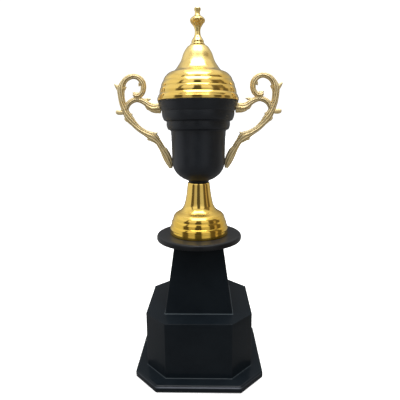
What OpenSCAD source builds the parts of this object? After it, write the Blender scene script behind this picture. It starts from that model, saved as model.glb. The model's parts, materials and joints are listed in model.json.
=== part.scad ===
// Two-handled cup trophy on a turned foot, a round plaque disc, a tapered
// column and a two-step chamfered base. Millimetres, +Z up, origin at the
// centre of the rest plane under the felt pads. The handles lie in the XZ plane.

/* [Base] */
// Thickness of the felt pads
pad_t = 1.5; // [1:0.5:2]
// Width of the base plate across its flats
base_w = 199; // [196:0.2:206]
// Thickness of the base plate
base_t = 11; // [10.5:0.5:12]
// Corner chamfer of the base plate, measured along each side
base_chamfer = 36.5; // [34:0.5:40]
// Width of the plinth box across its flats
plinth_w = 165; // [162:1:168]
// Height of the plinth box, top panel included
plinth_h = 89.5; // [88:0.5:96]
// Corner chamfer of the plinth box, measured along each side
plinth_chamfer = 32.5; // [30:0.5:34]
// Thickness of the fibreboard panels
panel_t = 9; // [8.5:0.5:9]

/* [Column] */
// Width of the tapered column at its bottom
col_bottom_w = 105; // [104:1:108]
// Width of the tapered column at its top
col_top_w = 75; // [74:1:79]
// Height of the tapered column
col_h = 107; // [104:1:110]
// Diameter of the round top disc
disc_d = 136.8; // [132:0.4:140]
// Thickness of the round top disc
disc_t = 9; // [9:0.5:10]

/* [Cup] */
// Wall thickness of the spun bowl and foot
wall_t = 1; // [0.8:0.1:1.1]
// Wall thickness of the spun lid
lid_wall_t = 0.8; // [0.7:0.1:1]
// Gap between the closed lid and the rim of the bowl
lid_gap = 0.3; // [0.2:0.1:0.4]
// Half-thickness of the cast handles, front to back
handle_half_t = 3.6; // [3.2:0.1:4]

/* [Fasteners] */
// Radius of the central tie rod
rod_r = 3; // [2.9:0.1:3]
// Radius of the clearance holes for the tie rod
rod_hole_r = 3.4; // [3.3:0.1:3.6]
// Radius of the handle and finial screws
screw_r = 1.75; // [1.6:0.05:1.75]

/* [Hidden] */

$fn = 96;

// heights of the stack
z_base = pad_t;                      // underside of the base plate
z_plinth = z_base + base_t;          // bottom of the plinth walls
z_ptop = z_plinth + plinth_h;        // top of the plinth
z_col_top = z_ptop + col_h;          // top of the column
z_disc = z_col_top + disc_t;         // top of the disc
z_foot = z_disc;                     // the foot stands here
foot_h = 83;
gasket_t = 1;
z_bowl = z_foot + foot_h + gasket_t; // outside bottom of the bowl
bowl_h = 123.5;
z_lid = z_bowl + bowl_h + lid_gap;   // lower edge of the lid
z_fin = z_lid + 79.2;                // top of the lid, under the finial

// ---- 2-D helpers ---------------------------------------------------------
// points from a to b along a shallow bulge of height s, without a itself
function bulge(a, b, s, n) =
    let (d = b - a, l = norm(d), q = [d[1], -d[0]] / l)
    [for (i = [1:n]) let (t = i / n) a + d * t + q * (4 * s * t * (1 - t))];

function unit(v) = v / max(norm(v), 1e-9);

// the same line moved inwards by t, at right angles to itself
function inset(p, t) =
    let (n = len(p))
    [for (i = [0:n - 1])
        let (a = unit(p[min(i + 1, n - 1)] - p[i]), b = unit(p[i] - p[max(i - 1, 0)]),
             v = unit(i == 0 ? a : i == n - 1 ? b : a + b))
        p[i] - t * [v[1], -v[0]]];

function rev(p) = [for (i = [len(p) - 1:-1:0]) p[i]];

// a square with cut corners, as an outline
module cut_square(w, c) {
    h = w / 2;
    polygon([[h - c, -h], [h, c - h], [h, h - c], [h - c, h],
        [c - h, h], [-h, h - c], [-h, c - h], [c - h, -h]]);
}

// a cut-corner plate with eased bottom and top edges
module eased_plate(w, c, t, low, high) {
    hull() {
        linear_extrude(t - high) cut_square(w - 2 * low, c - 0.6 * low);
        translate([0, 0, low]) linear_extrude(t - low - high) cut_square(w, c);
        translate([0, 0, t - high]) linear_extrude(high * 0.35) cut_square(w - 0.6 * high, c - 0.2 * high);
        linear_extrude(t) cut_square(w - 2 * high, c - 0.6 * high);
    }
}

module ring(r_out, r_in, h) {
    difference() {
        cylinder(h = h, r = r_out);
        translate([0, 0, -1]) cylinder(h = h + 2, r = r_in);
    }
}

// a countersunk wood screw, head at z = 0, point upwards
module wood_screw(l, r) {
    rotate_extrude() polygon([[0, 0], [r * 2, 0], [r * 2, 0.4], [r, r + 0.6], [r, l - 4], [0, l]]);
}

// ---- base ----------------------------------------------------------------
module felt_pads() {
    color("dimgray")
        for (x = [-68, 68], y = [-68, 68]) translate([x, y, 0]) cylinder(h = pad_t, r = 12);
}

base_screw_at = 54;

module base_plate() {
    color([0.08, 0.08, 0.09]) translate([0, 0, z_base]) difference() {
        eased_plate(base_w, base_chamfer, base_t, 1, 3);
        translate([0, 0, -1]) cylinder(h = base_t + 2, r = rod_hole_r);
        translate([0, 0, -1]) cylinder(h = 7, r = 12);
        for (x = [-1, 1], y = [-1, 1]) translate([x * base_screw_at, y * base_screw_at, 0]) {
            translate([0, 0, -1]) cylinder(h = base_t + 2, r = 2.1);
            translate([0, 0, -1]) cylinder(h = 4, r = 4.3);
        }
    }
}

module base_screws() {
    color("silver")
        for (x = [-1, 1], y = [-1, 1])
            translate([x * base_screw_at, y * base_screw_at, z_base + 0.2]) wood_screw(34, 2);
}

// plinth outline corners: outer and inner, with the mitre between them
p_o = plinth_w / 2;
p_i = p_o - panel_t;
p_oe = p_o - plinth_chamfer;
p_ie = (p_o + p_oe - panel_t * sqrt(2)) - p_i;
wall_h = plinth_h - panel_t;

module plinth_wall(turn) {
    color([0.06, 0.06, 0.07]) rotate(turn) translate([0, 0, z_plinth]) linear_extrude(wall_h)
        polygon([[-p_oe, -p_o], [p_oe, -p_o], [p_ie, -p_i], [-p_ie, -p_i]]);
}

module plinth_front_panel() plinth_wall(0);
module plinth_back_panel() plinth_wall(180);
module plinth_left_panel() plinth_wall(270);
module plinth_right_panel() plinth_wall(90);

module plinth_corner_panels() {
    color([0.06, 0.06, 0.07]) for (a = [0:90:270]) rotate(a) translate([0, 0, z_plinth])
        linear_extrude(wall_h)
            polygon([[p_oe, -p_o], [p_o, -p_oe], [p_i, -p_ie], [p_ie, -p_i]]);
}

module plinth_top_panel() {
    color([0.08, 0.08, 0.09]) translate([0, 0, z_ptop - panel_t]) difference() {
        linear_extrude(panel_t) cut_square(plinth_w, plinth_chamfer);
        translate([0, 0, -1]) cylinder(h = panel_t + 2, r = rod_hole_r);
        for (x = [-28, 28], y = [-28, 28]) translate([x, y, 0]) {
            translate([0, 0, -1]) cylinder(h = panel_t + 2, r = 2.1);
            translate([0, 0, -1]) cylinder(h = 4, r = 4.3);
        }
    }
}

// glue blocks behind the four corner panels
module plinth_corner_blocks() {
    d = (p_o + p_oe) / sqrt(2) - panel_t;
    color("burlywood") for (a = [45:90:315]) rotate(a)
        translate([0, 0, z_plinth]) difference() {
            translate([d - 18, -12, 0]) cube([18, 24, wall_h]);
            translate([base_screw_at * sqrt(2), 0, -1]) cylinder(h = 30, r = 2.02);
        }
}

// ---- column --------------------------------------------------------------
c_b = col_bottom_w / 2;
c_t = col_top_w / 2;
lean = (c_b - c_t) / col_h;
c_wall = panel_t * sqrt(1 + lean * lean);   // level thickness of a leaning wall

// one leaning wall, mitred at 45 degrees on its two long edges
module column_wall(turn) {
    color([0.06, 0.06, 0.07]) rotate(turn) translate([0, 0, z_ptop]) polyhedron(
        points = [
            [-c_b, -c_b, 0], [c_b, -c_b, 0], [c_b - c_wall, c_wall - c_b, 0], [c_wall - c_b, c_wall - c_b, 0],
            [-c_t, -c_t, col_h], [c_t, -c_t, col_h], [c_t - c_wall, c_wall - c_t, col_h], [c_wall - c_t, c_wall - c_t, col_h]],
        faces = [[0, 1, 2, 3], [7, 6, 5, 4], [4, 5, 1, 0], [5, 6, 2, 1], [6, 7, 3, 2], [7, 4, 0, 3]]);
}

module column_front_panel() column_wall(0);
module column_back_panel() column_wall(180);
module column_left_panel() column_wall(270);
module column_right_panel() column_wall(90);

block_t = 18;
cb_half = floor((c_b - c_wall - lean * block_t) * 5) / 5 - 0.2;
ct_half = floor((c_t - c_wall) * 5) / 5 - 0.2;

module column_bottom_block() {
    color("burlywood") translate([0, 0, z_ptop]) difference() {
        translate([-cb_half, -cb_half, 0]) cube([2 * cb_half, 2 * cb_half, block_t]);
        translate([0, 0, -1]) cylinder(h = block_t + 2, r = rod_hole_r);
        for (x = [-28, 28], y = [-28, 28]) translate([x, y, -1]) cylinder(h = block_t - 1, r = 2.02);
    }
}

module column_top_block() {
    color("burlywood") translate([0, 0, z_col_top - block_t]) difference() {
        translate([-ct_half, -ct_half, 0]) cube([2 * ct_half, 2 * ct_half, block_t]);
        translate([0, 0, -1]) cylinder(h = block_t + 2, r = rod_hole_r);
        for (x = [-20, 20], y = [-20, 20]) translate([x, y, 2]) cylinder(h = block_t, r = 2.02);
    }
}

module column_screws() {
    color("silver") for (x = [-28, 28], y = [-28, 28])
        translate([x, y, z_ptop - panel_t + 0.2]) wood_screw(panel_t + block_t - 4, 2);
}

// ---- disc ----------------------------------------------------------------
disc_r = disc_d / 2;

module top_disc() {
    color([0.08, 0.08, 0.09]) translate([0, 0, z_col_top]) difference() {
        rotate_extrude() polygon(concat(
            [[0, 0]],
            bulge([disc_r - 2, 0], [disc_r, 2.2], 0.5, 4),
            [[disc_r, disc_t - 3]],
            bulge([disc_r, disc_t - 3], [disc_r - 3, disc_t], 0.9, 5),
            [[0, disc_t]]));
        translate([0, 0, -1]) cylinder(h = disc_t + 2, r = rod_hole_r);
        for (x = [-20, 20], y = [-20, 20]) translate([x, y, 0]) {
            translate([0, 0, -1]) cylinder(h = disc_t + 2, r = 2.1);
            translate([0, 0, disc_t - 3]) cylinder(h = 4, r = 4.3);
        }
    }
}

module disc_screws() {
    color("silver") for (x = [-20, 20], y = [-20, 20])
        translate([x, y, z_disc - 0.2]) mirror([0, 0, 1]) wood_screw(disc_t + 14, 2);
}

// ---- tie rod -------------------------------------------------------------
z_rod0 = z_base + 0.8;
z_rod1 = z_bowl + 9.2;

module tie_rod() {
    color("silver") translate([0, 0, z_rod0]) cylinder(h = z_rod1 - z_rod0, r = rod_r);
}

module rod_bottom_washer() {
    color("silver") translate([0, 0, z_base + 4.4]) ring(9, rod_r + 0.2, 1.6);
}

module hex_nut(h, af, r) {
    difference() {
        cylinder(h = h, r = af / sqrt(3), $fn = 6);
        translate([0, 0, -1]) cylinder(h = h + 2, r = r);
    }
}

module rod_bottom_nut() {
    color("silver") translate([0, 0, z_base + 1.2]) hex_nut(3.2, 10, rod_r + 0.02);
}

module rod_top_washer() {
    color("silver") translate([0, 0, z_bowl + wall_t]) ring(12, rod_r + 0.2, 1.5);
}

// domed cap nut
module rod_top_nut() {
    color("silver") translate([0, 0, z_bowl + wall_t + 1.5]) difference() {
        union() {
            cylinder(h = 5.5, r = 10 / sqrt(3), $fn = 6);
            rotate_extrude() polygon(concat([[0, 5], [4.6, 5], [4.6, 6.4]],
                bulge([4.6, 6.4], [0, 10.6], 1.6, 8)));
        }
        translate([0, 0, -1]) cylinder(h = 8.4, r = rod_r + 0.02);
    }
}

// ---- turned profiles -----------------------------------------------------
// each is a line from bottom to top along the outside

function foot_line() = concat(
    [[46.2, 0], [46.9, 0.7], [47, 3], [46.6, 8]], bulge([46.6, 8], [44.5, 15.6], 0.7, 5),
    [[44.3, 16]], bulge([44.3, 16], [42, 24.2], 0.6, 5),
    [[41.9, 24.5]], bulge([41.9, 24.5], [38.6, 31.9], 0.7, 5),
    [[38.2, 32.6], [37.4, 33.4], [31.2, 37.1], [29, 38.9], [26.9, 41.1], [25.2, 43.6], [23.9, 46], [23, 48.6], [22.2, 51.6], [21.3, 55.4],
     [20.7, 58.6], [20, 62.6], [19.3, 67.4], [18.7, 72.4], [18.1, 77.2], [17.7, 80.4], [17.4, 82.2], [16.9, 83]]);

// lower bowl: a full-bottomed curve, seat radius to wall radius
function bowl_belly(r0, r1, h, e, n) =
    let (a0 = acos(pow(r0 / r1, e / 2)))
    [for (i = [0:n]) let (a = a0 * (1 - i / n))
        [r1 * pow(cos(a), 2 / e), h - h * pow(max(sin(a), 0), 2 / e)]];

function bowl_line() = concat(
    [[15.6, 0]], bowl_belly(17, 41.3, 33.5, 2.12, 12), [[41.4, 50], [42.2, 78]],
    [[42.6, 79.4], [44.4, 80.6], [46.4, 81.4]], bulge([46.4, 81.4], [48.4, 92.6], 1.1, 6),
    [[49.2, 93.6], [51.2, 94.6], [52.2, 95.2]], bulge([52.2, 95.2], [55.2, 108.4], 1.2, 6),
    [[55.8, 109], [56.4, 109.8], [58.4, 115.4], [60.2, 121]]);

function lid_line() = concat(
    [[61.7, 0.5], [61.7, 1.6], [61.6, 4], [60.8, 5.2]], bulge([60.8, 5.2], [58.3, 9.7], 0.3, 3),
    [[58.1, 10.1]], bulge([58.1, 10.1], [55.9, 19.2], 0.6, 5),
    [[55.8, 19.6]], bulge([55.8, 19.6], [52.3, 28.3], 0.7, 5),
    [[52.1, 28.7]], bulge([52.1, 28.7], [47.6, 36.3], 0.6, 5),
    [[47.4, 36.7]], bulge([47.4, 36.7], [38.6, 41.3], 1, 5),
    [[36.8, 42.4], [35, 43.7], [33.3, 45.3], [31.8, 47.2], [30.2, 49.4], [28.8, 51.6], [27.4, 53.7], [26, 55.9],
     [25, 58], [24.1, 60.2], [23.4, 62.3], [22.7, 64.5], [21.9, 66.7], [20.9, 69], [19.6, 71.2], [18.2, 73.4],
     [16.8, 75.4], [15.3, 77.2], [13.4, 78.4], [11, 79.2]]);

module lift_profile(p, z) translate([0, 0, z]) rotate_extrude() polygon(p);

// ---- foot ----------------------------------------------------------------
module foot_shell() {
    o = foot_line();
    i = [for (q = inset(o, wall_t)) [q[0], min(q[1], foot_h - wall_t)]];
    color("gold") lift_profile(concat(o, [[rod_hole_r, foot_h], [rod_hole_r, foot_h - wall_t]],
        rev([for (k = [2:len(i) - 1]) i[k]]), [[45.8, 0.9], [45.4, 0]]), z_foot);
}

module stem_gasket() {
    color([0.05, 0.05, 0.05]) translate([0, 0, z_bowl - gasket_t]) ring(15.8, rod_hole_r, gasket_t);
}

// ---- bowl ----------------------------------------------------------------
module bowl_solid(grow) {
    o = inset(bowl_line(), -grow);
    lift_profile(concat([[0, -grow]], o, [[61 + grow, 123.5], [0, 123.5]]), z_bowl);
}

// the four handle screws: height above the bowl's bottom, wall radius there, and tilt
lo_h = 31.5;
lo_r = 41.28;
up_h = 114.2;
up_r = 57.97;
up_tilt = 19.6;

module at_screw(side, upper) {
    h = upper ? up_h : lo_h;
    r = upper ? up_r : lo_r;
    a = upper ? 90 + up_tilt : 90;
    mirror([side < 0 ? 1 : 0, 0, 0]) translate([r, 0, z_bowl + h]) rotate([0, a, 0]) children();
}

module bowl_shell() {
    o = bowl_line();
    i = inset(o, wall_t);
    n = len(o);
    color([0.05, 0.05, 0.05]) difference() {
        lift_profile(concat([[rod_hole_r, 0]], o,
            bulge([60.2, 121], [60.4, 123.5], 0.6, 5), bulge([60.4, 123.5], [59.2, 122.6], 0.5, 3),
            rev([for (k = [3:n - 1]) [max(i[k][0], 0), max(i[k][1], wall_t)]]),
            [[15.2, wall_t], [rod_hole_r, wall_t]]), z_bowl);
        for (s = [-1, 1], u = [false, true]) at_screw(s, u)
            translate([0, 0, -6]) cylinder(h = 12, r = screw_r + 0.2);
    }
}

// ---- handles -------------------------------------------------------------
// A centre line is a list of [x, z, half-width, half-thickness], as a share of
// handle_half_t, for the right-hand handle.
stem_pts = [
    [43.6, 323.4, 2.2, 0.6], [44.6, 327.6, 3.4, 0.8], [46.8, 334.4, 4.9, 0.95], [50.6, 344.1, 5.5, 1],
    [56.7, 354.6, 4.4, 1], [62.6, 364.5, 4.6, 1.1], [69.8, 371.6, 6.2, 1.35], [76.6, 375.4, 4.9, 1.15],
    [84.2, 379.8, 3.8, 1], [91.8, 385, 3.9, 1], [98.8, 392, 4.4, 1], [104.8, 399.2, 5.2, 1.1],
    [109.6, 407, 4.6, 1.1], [113.2, 415.4, 4.2, 1], [116, 425, 4.3, 1], [117.2, 435.4, 4.7, 1.05],
    [116.7, 444.6, 5, 1.15], [112.6, 454, 3.6, 1], [105.8, 460.2, 3.4, 1], [97, 462.6, 3.4, 1],
    [89.4, 460.2, 3.6, 1], [84.2, 454.4, 4.0, 1.1], [82.6, 447.4, 3.8, 1], [84.2, 439.8, 3.4, 1],
    [88.8, 435, 3.4, 1.1], [94.6, 434.8, 3.6, 1.2], [98.4, 437, 2.2, 0.9]];
arm_pts = [
    [110.6, 414.6, 3.3, 0.85], [107.2, 421.6, 3.4, 0.9], [101.2, 426.4, 3.3, 0.9], [93.8, 428.6, 3.3, 0.95],
    [86.4, 427, 3.6, 1], [79.7, 423.2, 4, 1.1], [73.6, 418.2, 5.1, 1.15], [68, 415.8, 5.8, 1.3],
    [62.6, 415.4, 6, 1.45], [57, 415.3, 6.2, 1.45]];
// leaves: lists of [x, z, radius], joined in turn
leaf_sets = [
    [[117.4, 441.4, 5], [120.8, 445.2, 3.8], [124, 448.8, 2.6], [126.2, 451.4, 1.2]],
    [[114.2, 443, 3.4], [111.4, 445, 2.1], [109.2, 447, 1.0]],
    [[111.2, 409.8, 3.2], [116.6, 409.4, 3.3], [120.6, 409.6, 3.9], [123.6, 409.9, 3.6]],
    [[106.8, 402.4, 3.6], [104.0, 404.8, 2.4], [102.2, 407.2, 1.3]],
    [[105.4, 397.4, 4.0], [109.6, 398.2, 3.1], [112.8, 399.8, 1.6]],
    [[71.6, 372, 4.8], [67.6, 375.6, 2.8], [64.6, 378.4, 1.4]],
    [[66.2, 369.6, 4.0], [63.4, 371.4, 2.2], [61.4, 372.8, 1.1]],
    [[71.6, 371, 5.0], [75.6, 369.2, 3.1], [78.4, 368.4, 1.7]],
    [[85.4, 455.4, 3.0], [88.0, 451.6, 2.3], [89.4, 448.6, 1.1]],
    [[83.6, 426.4, 2.8], [78.4, 427.8, 2.6], [74.8, 428.8, 1.9], [72.6, 429.4, 1.0]],
    [[79.4, 420.2, 2.8], [78, 416, 2], [77, 413.6, 1.1]],
    [[91, 436.2, 2.7], [94.8, 437.4, 2.2], [98.2, 438.4, 1.5]],
    [[54.6, 354.2, 2.8], [52.4, 353, 3.5], [50.4, 349.8, 3.9], [48.9, 345.4, 3.9], [47.6, 340.4, 3.6], [46.6, 335.6, 3]]];

function spline(a, b, c, d, t) =
    0.5 * (2 * b + (c - a) * t + (2 * a - 5 * b + 4 * c - d) * t * t + (3 * b - a - 3 * c + d) * t * t * t);

function smooth(p, m) =
    let (n = len(p))
    concat([for (i = [0:n - 2], k = [0:m - 1])
        spline(p[max(i - 1, 0)], p[i], p[i + 1], p[min(i + 2, n - 1)], k / m)], [p[n - 1]]);

// a bar of oval section, with a raised vein on each face, along a smoothed line
module vine(p, m) {
    q = smooth(p, m);
    n = len(q);
    s = 10;
    pts = [for (i = [0:n - 1])
        let (t = unit([q[min(i + 1, n - 1)][0] - q[max(i - 1, 0)][0], q[min(i + 1, n - 1)][1] - q[max(i - 1, 0)][1]]))
        for (k = [0:s - 1])
            let (a = k * 360 / s, v = 1 + 0.12 * cos(4 * a), w = q[i][2] * cos(a) * v)
            [q[i][0] - t[1] * w, handle_half_t * q[i][3] * sin(a) * v, q[i][1] + t[0] * w]];
    polyhedron(points = pts, faces = concat(
        [[for (k = [s - 1:-1:0]) k]],
        [[for (k = [0:s - 1]) (n - 1) * s + k]],
        [for (i = [0:n - 2], k = [0:s - 1]) let (j = (k + 1) % s)
            [i * s + j, (i + 1) * s + j, (i + 1) * s + k, i * s + k]]), convexity = 10);
}

module lens(p) translate([p[0], 0, p[1]])
    scale([1, min(1, 0.5 + 0.6 / p[2]), 1]) sphere(r = p[2], $fn = 8);

module handle_body() {
    difference() {
        union() {
            vine(stem_pts, 2);
            vine(arm_pts, 2);
            for (l = leaf_sets, k = [0:len(l) - 2]) hull() { lens(l[k]); lens(l[k + 1]); }
        }
        bowl_solid(0.05, $fn = 180);
        for (u = [false, true]) at_screw(1, u)
            cylinder(h = u ? 7 : 6.6, r = screw_r + 0.15, $fn = 24);
    }
}

module left_handle() color("gold") mirror([1, 0, 0]) handle_body();
module right_handle() color("gold") handle_body();

// pan-head screw and flat washer inside the bowl
washer_off = 0.7;
module handle_screw(l) {
    translate([0, 0, -wall_t - washer_off - 0.8]) union() {
        cylinder(h = l + wall_t + washer_off + 0.8, r = screw_r);
        rotate_extrude() polygon([[0, -2.2], [2.2, -2.2], [3.1, -1.5], [3.5, -0.6], [3.5, 0], [0, 0]]);
    }
}

module handle_screws(side) color("silver") {
    at_screw(side, false) handle_screw(6);
    at_screw(side, true) handle_screw(6.4);
}

module handle_washers(side) color("silver") for (u = [false, true])
    at_screw(side, u) translate([0, 0, -wall_t - washer_off - 0.8]) ring(u ? 4 : 4.4, screw_r + 0.2, 0.8);

module left_handle_screws() handle_screws(-1);
module right_handle_screws() handle_screws(1);
module left_handle_washers() handle_washers(-1);
module right_handle_washers() handle_washers(1);

// ---- lid -----------------------------------------------------------------
lid_top_in = 79.2 - lid_wall_t;

module lid_shell() {
    o = lid_line();
    i = inset(o, lid_wall_t);
    n = len(o);
    color("gold") lift_profile(concat([[61.2, 0]], o, [[screw_r + 0.2, 79.2], [screw_r + 0.2, lid_top_in]],
        rev([for (k = [2:n - 1]) [i[k][0], min(i[k][1], lid_top_in)]]), [[60.7, 0]]), z_lid);
}

// angle ring soldered inside the lid, which centres it in the bowl
module lid_locating_ring() {
    color("gold") lift_profile([[56.8, -4], [57.6, -4], [57.6, 2.7], [60.7, 2.7], [60.7, 3.5], [56.8, 3.5]], z_lid);
}

module finial() {
    color("gold") lift_profile([[screw_r + 0.02, 0], [11, 0], [11.4, 0.8], [11, 1.8], [9.6, 2.6], [9.2, 3.6], [9.4, 5], [9, 6.4],
        [8.2, 7.9], [7, 9.7], [5.6, 11.8], [4.6, 14], [4.1, 17], [4.1, 20], [4.6, 23], [5.8, 26], [7.8, 29],
        [9.9, 31.6], [11, 33.6], [11, 35.6], [9.6, 37.4], [6.8, 39.4], [4.8, 41], [3.9, 43], [3.8, 46],
        [4, 47.2], [4.7, 48.2], [4.8, 50.2], [4.4, 51.2], [0, 51.4], [0, 9], [screw_r + 0.02, 9]], z_fin);
}

module finial_washer() {
    color("silver") translate([0, 0, z_fin - lid_wall_t - 0.8]) ring(5, screw_r + 0.2, 0.8);
}

module finial_screw() {
    color("silver") translate([0, 0, z_fin - lid_wall_t - 0.8]) union() {
        cylinder(h = 9.6, r = screw_r);
        rotate_extrude() polygon([[0, -2.2], [2.2, -2.2], [3.1, -1.5], [3.5, -0.6], [3.5, 0], [0, 0]]);
    }
}

felt_pads();
base_plate();
base_screws();
plinth_front_panel();
plinth_back_panel();
plinth_left_panel();
plinth_right_panel();
plinth_corner_panels();
plinth_top_panel();
plinth_corner_blocks();
column_front_panel();
column_back_panel();
column_left_panel();
column_right_panel();
column_bottom_block();
column_top_block();
column_screws();
top_disc();
disc_screws();
tie_rod();
rod_bottom_washer();
rod_bottom_nut();
rod_top_washer();
rod_top_nut();
foot_shell();
stem_gasket();
bowl_shell();
left_handle();
right_handle();
left_handle_screws();
right_handle_screws();
left_handle_washers();
right_handle_washers();
lid_shell();
lid_locating_ring();
finial();
finial_screw();
finial_washer();
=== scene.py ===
import json
import math

import bpy
import bmesh
import numpy as np
from mathutils import Matrix, Vector


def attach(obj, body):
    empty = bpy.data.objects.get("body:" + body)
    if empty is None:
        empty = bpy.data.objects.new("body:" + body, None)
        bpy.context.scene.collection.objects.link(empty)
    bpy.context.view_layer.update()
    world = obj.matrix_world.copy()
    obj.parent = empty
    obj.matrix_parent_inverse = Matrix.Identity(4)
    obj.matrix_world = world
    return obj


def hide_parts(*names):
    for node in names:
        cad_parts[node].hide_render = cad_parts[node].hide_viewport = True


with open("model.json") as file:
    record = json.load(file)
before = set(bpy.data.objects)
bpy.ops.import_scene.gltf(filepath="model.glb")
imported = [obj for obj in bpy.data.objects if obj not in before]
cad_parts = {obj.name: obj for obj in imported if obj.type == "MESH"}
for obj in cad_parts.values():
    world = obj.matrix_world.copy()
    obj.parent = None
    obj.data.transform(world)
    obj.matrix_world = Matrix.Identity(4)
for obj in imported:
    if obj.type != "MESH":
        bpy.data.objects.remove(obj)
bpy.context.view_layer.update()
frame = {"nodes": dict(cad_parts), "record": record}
MM = 0.001
nodes = frame["nodes"]
scene = bpy.context.scene

# ---------------------------------------------------------------- camera
cam_data = bpy.data.cameras.new("camera")
cam_data.sensor_width = 36.0
cam_data.lens = 36.0 * 355.7 / 400.0
cam_data.clip_start = 0.02
cam_data.clip_end = 60.0
cam = bpy.data.objects.new("camera", cam_data)
scene.collection.objects.link(cam)
aim = Matrix.Rotation(math.radians(1.31), 4, "Z") @ Matrix.Rotation(math.radians(90.0 - 11.02), 4, "X") \
    @ Matrix.Rotation(math.radians(-0.39), 4, "Z")
cam.matrix_world = Matrix.Translation((0.01466, -0.5598, 0.3813)) @ aim
scene.camera = cam

# ---------------------------------------------------------------- heights (mm), as in the CAD
Z_BASE, Z_PLINTH, Z_PTOP, Z_COLTOP, Z_DISC = 1.5, 12.5, 102.0, 209.0, 218.0
Z_FOOT, Z_BOWL, Z_LID = 218.0, 302.0, 425.8
Z_FIN = Z_LID + 79.2


# ---------------------------------------------------------------- small maths
def bulge(a, b, s, n):
    """Points from a to b along a shallow bulge of height s, without a itself."""
    dx, dz = b[0] - a[0], b[1] - a[1]
    l = math.hypot(dx, dz)
    qx, qz = dz / l, -dx / l
    out = []
    for i in range(1, n + 1):
        t = i / n
        k = 4 * s * t * (1 - t)
        out.append((a[0] + dx * t + qx * k, a[1] + dz * t + qz * k))
    return out


def inset(p, t):
    p = np.array(p, float)
    d = np.diff(p, axis=0)
    d /= np.maximum(np.linalg.norm(d, axis=1, keepdims=True), 1e-9)
    a = np.vstack([d, d[-1:]])
    b = np.vstack([d[:1], d])
    v = a + b
    v /= np.maximum(np.linalg.norm(v, axis=1, keepdims=True), 1e-9)
    return [(float(x - t * vz), float(z + t * vx)) for (x, z), (vx, vz) in zip(p, v)]


def rounded(p, rad, closed=True, steps=3, least=14.0):
    """The line with each corner sharper than `least` degrees turned into a small curve."""
    n = len(p)
    out = []
    for i in range(n):
        if not closed and i in (0, n - 1):
            out.append(tuple(p[i]))
            continue
        a, b, c = np.array(p[i - 1], float), np.array(p[i], float), np.array(p[(i + 1) % n], float)
        u, v = a - b, c - b
        lu, lv = np.linalg.norm(u), np.linalg.norm(v)
        if lu < 1e-6 or lv < 1e-6:
            continue
        u, v = u / lu, v / lv
        turn = 180 - math.degrees(math.acos(max(-1, min(1, float(u @ v)))))
        if turn < least or b[0] < 1e-6:
            out.append(tuple(b))
            continue
        d = min(rad * math.tan(math.radians(min(turn, 150)) / 2), 0.42 * lu, 0.42 * lv)
        s, e = b + u * d, b + v * d
        for k in range(steps + 1):
            t = k / steps
            out.append(tuple(s * (1 - t) ** 2 + b * 2 * t * (1 - t) + e * t * t))
    return out


def smooth_line(p, m):
    """A spline through the points, m steps to a span."""
    p = np.array(p, float)
    n = len(p)
    out = []
    for i in range(n - 1):
        a, b, c, d = p[max(i - 1, 0)], p[i], p[i + 1], p[min(i + 2, n - 1)]
        for k in range(m):
            t = k / m
            out.append(0.5 * (2 * b + (c - a) * t + (2 * a - 5 * b + 4 * c - d) * t * t
                              + (3 * b - a - 3 * c + d) * t ** 3))
    out.append(p[-1])
    return np.array(out)


# ---------------------------------------------------------------- mesh helpers
def new_object(name, verts, faces, smooth=True, sharp=None):
    me = bpy.data.meshes.new(name)
    me.from_pydata([tuple(v) for v in verts], [], faces)
    me.validate(verbose=False)
    me.update()
    if smooth:
        me.polygons.foreach_set("use_smooth", [True] * len(me.polygons))
    ob = bpy.data.objects.new(name, me)
    scene.collection.objects.link(ob)
    if sharp is not None:
        sharpen(ob, sharp)
    return ob


def sharpen(ob, degrees):
    """Marks the edges sharper than that as sharp, so that flats stay flat."""
    bm = bmesh.new()
    bm.from_mesh(ob.data)
    lim = math.radians(degrees)
    for e in bm.edges:
        e.smooth = not (len(e.link_faces) == 2 and e.calc_face_angle(0.0) > lim)
    for f in bm.faces:
        f.smooth = True
    bm.to_mesh(ob.data)
    bm.free()


def fix_normals(ob):
    bm = bmesh.new()
    bm.from_mesh(ob.data)
    bmesh.ops.recalc_face_normals(bm, faces=bm.faces)
    bm.to_mesh(ob.data)
    bm.free()


def lathe(name, prof, segs=160, sharp=40.0, warp=None):
    """Turns a closed outline of (r, z) in mm. warp(r, z, angle) may move points, to flute or chase them."""
    area = sum(prof[i][0] * prof[(i + 1) % len(prof)][1] - prof[(i + 1) % len(prof)][0] * prof[i][1]
               for i in range(len(prof)))
    if area < 0:
        prof = prof[::-1]
    verts, rows = [], []
    for r, z in prof:
        if r < 1e-6:
            rows.append([len(verts)] * segs)
            verts.append((0, 0, z * MM))
            continue
        start = len(verts)
        for k in range(segs):
            a = 2 * math.pi * k / segs
            rr, zz = (r, z) if warp is None else warp(r, z, a)
            verts.append((rr * math.cos(a) * MM, rr * math.sin(a) * MM, zz * MM))
        rows.append(list(range(start, start + segs)))
    faces = []
    n = len(prof)
    for i in range(n):
        a, b = rows[i], rows[(i + 1) % n]
        if a[0] == a[1] and b[0] == b[1]:
            continue
        for k in range(segs):
            j = (k + 1) % segs
            q = [a[k], a[j], b[j], b[k]]
            f = [v for m, v in enumerate(q) if v not in q[:m]]
            if len(f) >= 3:
                faces.append(f)
    ob = new_object(name, verts, faces)
    if sharp:
        sharpen(ob, sharp)
    return ob


def apply_mods(ob):
    dg = bpy.context.evaluated_depsgraph_get()
    dg.update()
    me = bpy.data.meshes.new_from_object(ob.evaluated_get(dg))
    old = ob.data
    ob.modifiers.clear()
    ob.data = me
    me.name = ob.name
    if old.users == 0:
        bpy.data.meshes.remove(old)
    return ob


def cut(ob, tool):
    m = ob.modifiers.new("cut", "BOOLEAN")
    m.operation = "DIFFERENCE"
    m.solver = "EXACT"
    m.object = tool
    apply_mods(ob)
    bpy.data.objects.remove(tool)
    return ob


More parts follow.
